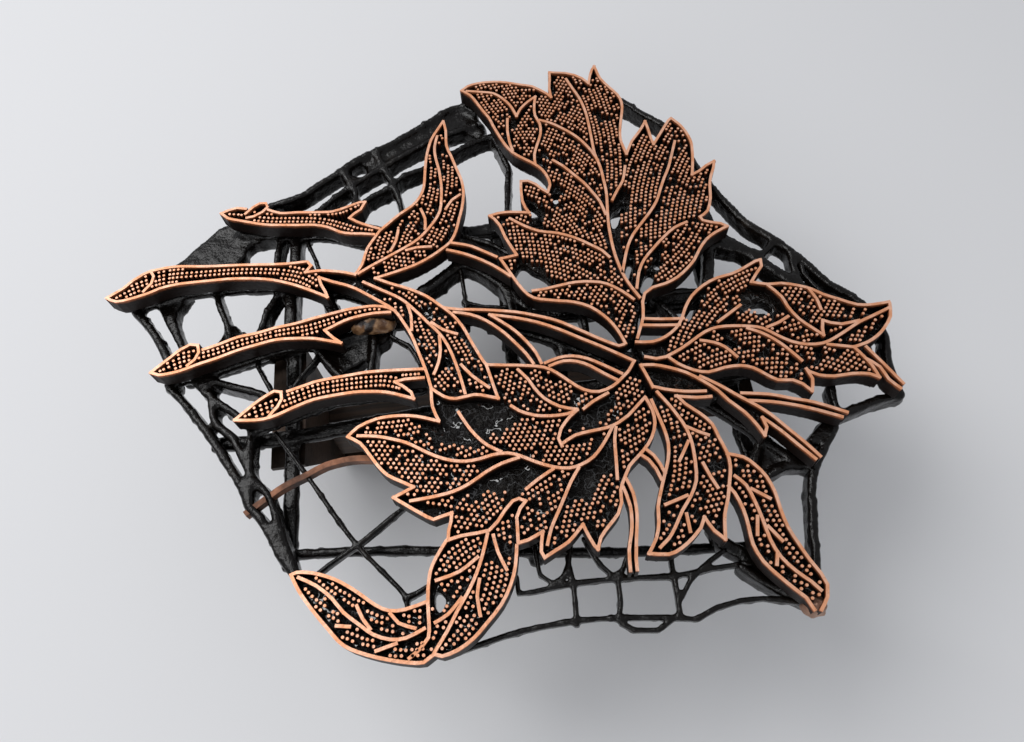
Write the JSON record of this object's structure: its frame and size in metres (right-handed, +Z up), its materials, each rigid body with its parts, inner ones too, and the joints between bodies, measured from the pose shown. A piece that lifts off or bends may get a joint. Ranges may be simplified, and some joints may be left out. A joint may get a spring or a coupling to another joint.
{
  "type": "batik stamp",
  "caption": "Copper strip and wire batik stamp with a leaf spray, set in black pitch on a strut frame, lying face up on its handle.",
  "frame": {"origin": "centre of the bounding box in plan, on the surface that the handle stands on", "axes": "+Z up to the print face, +X along the length of the motif towards the wing leaf, +Y towards the crown leaf"},
  "size_m": [0.2048, 0.1693, 0.064],
  "materials": {
    "print_copper": "filed bright on the print face, dull and dark lower down",
    "black_pitch": "uneven tar-like coat",
    "brown_copper": "oxidised brown sheet",
    "grip_wood": "hand-worn, dark with wax",
    "old_wax": "amber resin"
  },
  "bodies": {
    "root": {"crown_leaf_edge": "print_copper", "crown_leaf_veins": "print_copper", "crown_leaf_dots": "print_copper", "shoulder_leaf_edge": "print_copper", "shoulder_leaf_veins": "print_copper", "shoulder_leaf_dots": "print_copper", "wing_leaf_edge": "print_copper", "wing_leaf_veins": "print_copper", "wing_leaf_dots": "print_copper", "tail_leaf_edge": "print_copper", "tail_leaf_veins": "print_copper", "tail_leaf_dots": "print_copper", "broad_leaf_edge": "print_copper", "broad_leaf_veins": "print_copper", "broad_leaf_dots": "print_copper", "foot_leaf_edge": "print_copper", "foot_leaf_veins": "print_copper", "foot_leaf_dots": "print_copper", "heel_leaf_edge": "print_copper", "heel_leaf_veins": "print_copper", "heel_leaf_dots": "print_copper", "hanging_leaf_edge": "print_copper", "hanging_leaf_veins": "print_copper", "hanging_leaf_dots": "print_copper", "corner_leaf_edge": "print_copper", "corner_leaf_veins": "print_copper", "corner_leaf_dots": "print_copper", "spear_leaf_edge": "print_copper", "spear_leaf_veins": "print_copper", "spear_leaf_dots": "print_copper", "blade_leaf_edge": "print_copper", "blade_leaf_veins": "print_copper", "blade_leaf_dots": "print_copper", "bud_edges": "print_copper", "bud_dots": "print_copper", "middle_stem_strips": "print_copper", "forked_stem_strips": "print_copper", "north_bed": "black_pitch", "east_bed": "black_pitch", "south_bed": "black_pitch", "foot_bed": "black_pitch", "west_bed": "black_pitch", "bud_beds": "black_pitch", "stem_beds": "black_pitch", "rim_strips": "black_pitch", "strut_strips": "black_pitch", "loop_strips": "black_pitch", "brace_strip": "brown_copper", "cross_bars": "black_pitch", "long_bars": "black_pitch", "wax_lump": "old_wax", "handle_strap": "brown_copper", "grip": "grip_wood", "grip_nails": "print_copper"}
  },
  "joints": []
}
